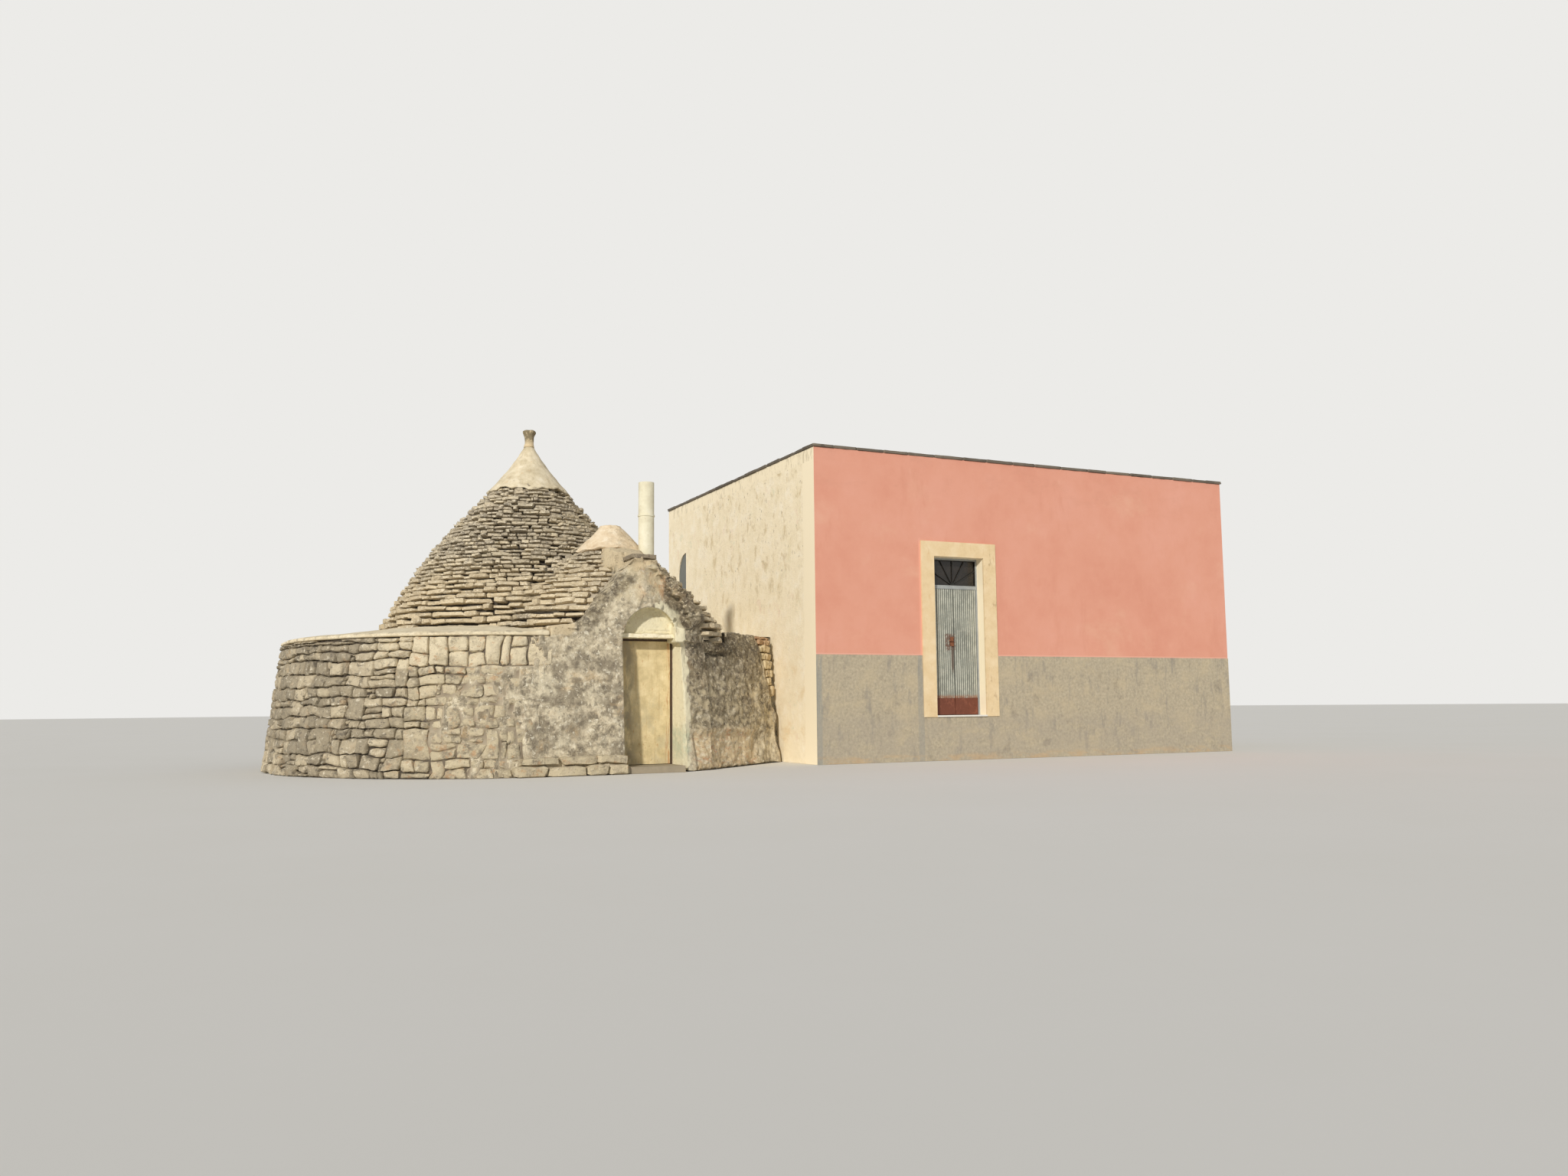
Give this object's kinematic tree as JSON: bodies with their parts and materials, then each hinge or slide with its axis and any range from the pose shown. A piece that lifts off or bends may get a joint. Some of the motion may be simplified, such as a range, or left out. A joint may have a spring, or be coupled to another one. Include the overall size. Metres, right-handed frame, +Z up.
{
  "type": "trullo farmhouse",
  "caption": "Round dry-stone trullo with a slate cone and a gabled entrance, joined by a short wing to a flat-roofed rendered block; hollow rooms, hinged doors.",
  "frame": {"origin": "on the cone's axis, at the underside of the trullo's floor, which is the lowest ground level", "axes": "+X along the front towards the block's far end, +Y into the depth, +Z up"},
  "size_m": [16.2399, 7.83, 5.525],
  "materials": {
    "dry_stone": "dry-laid limestone rubble, weathered",
    "lime_plaster": "old lime plaster with grey lichen",
    "wing_plaster": "lime plaster dark with lichen",
    "ledge_plaster": "tan plaster ledge",
    "slate_stone": "thin limestone slates laid dry in rings",
    "cap_plaster": "cream lime plaster",
    "pinnacle_stone": "carved limestone, dark with lichen",
    "dome_stone": "corbelled limestone rings",
    "pipe": "off-white cement pipe",
    "floor_stone": "worn limestone flags",
    "beige_door": "beige paint with rust specks",
    "frame_wood": "dark old timber",
    "cream_render": "cream lime render with vertical stains",
    "salmon_render": "smooth salmon-pink painted render",
    "grey_roughcast": "rough grey cement render",
    "roof_concrete": "weathered flat roof",
    "edge_stone": "thin dark stone slabs",
    "surround_stone": "sawn ochre stone",
    "white_sill": "white stone",
    "grey_steel": "galvanised ribbed sheet",
    "dark_iron": "black iron bars",
    "rusty_iron": "rusty iron",
    "dark_glass": "dark dusty glass",
    "grey_shutter": "blue-grey paint"
  },
  "bodies": {
    "house": {"trullo_floor": "floor_stone", "drum_right": "dry_stone", "drum_back_right": "dry_stone", "drum_back_left": "dry_stone", "drum_left": "dry_stone", "drum_front_left": "dry_stone", "facade_left_pier": "lime_plaster", "facade_right_pier": "lime_plaster", "right_wing": "wing_plaster", "drum_ledge": "ledge_plaster", "dome_lower": "dome_stone", "dome_upper": "dome_stone", "main_slates": "slate_stone", "cone_cap": "cap_plaster", "pinnacle": "pinnacle_stone", "small_dome": "dome_stone", "small_slates": "slate_stone", "small_cap": "cap_plaster", "chimney": "pipe", "gable": "lime_plaster", "gable_capstone": "pinnacle_stone", "door_lintel": "lime_plaster", "threshold": "floor_stone", "footing_stones": "dry_stone", "trullo_door_frame": "frame_wood", "block_floor": "floor_stone", "left_wall": "cream_render", "back_wall": "cream_render", "right_wall": "cream_render", "front_wall_left": "salmon_render", "front_wall_right": "salmon_render", "front_wall_head": "salmon_render", "front_wall_foot": "grey_roughcast", "roof_slab": "roof_concrete", "roof_edge": "edge_stone", "front_dado": "grey_roughcast", "surround_left": "surround_stone", "surround_right": "surround_stone", "surround_head": "surround_stone", "door_sill": "white_sill", "block_door_frame": "grey_steel", "transom_glass": "dark_glass", "transom_grille": "dark_iron", "side_window_shutter": "grey_shutter"},
    "trullo_leaf": {"trullo_door": "beige_door"},
    "left_leaf": {"left_leaf": "grey_steel", "door_lock": "rusty_iron"},
    "right_leaf": {"right_leaf": "grey_steel"}
  },
  "joints": [
    {"name": "trullo_door_hinge", "type": "hinge", "parent": "house", "child": "trullo_leaf", "pos_m": [1.347, -3.152, 0], "axis": [0, 0, -1], "range_deg": [0, 90]},
    {"name": "left_leaf_hinge", "type": "hinge", "parent": "house", "child": "left_leaf", "pos_m": [5.953, -2.89, 0], "axis": [0, 0, 1], "range_deg": [0, 90]},
    {"name": "right_leaf_hinge", "type": "hinge", "parent": "house", "child": "right_leaf", "pos_m": [6.847, -2.89, 0], "axis": [0, 0, -1], "range_deg": [0, 90]}
  ]
}
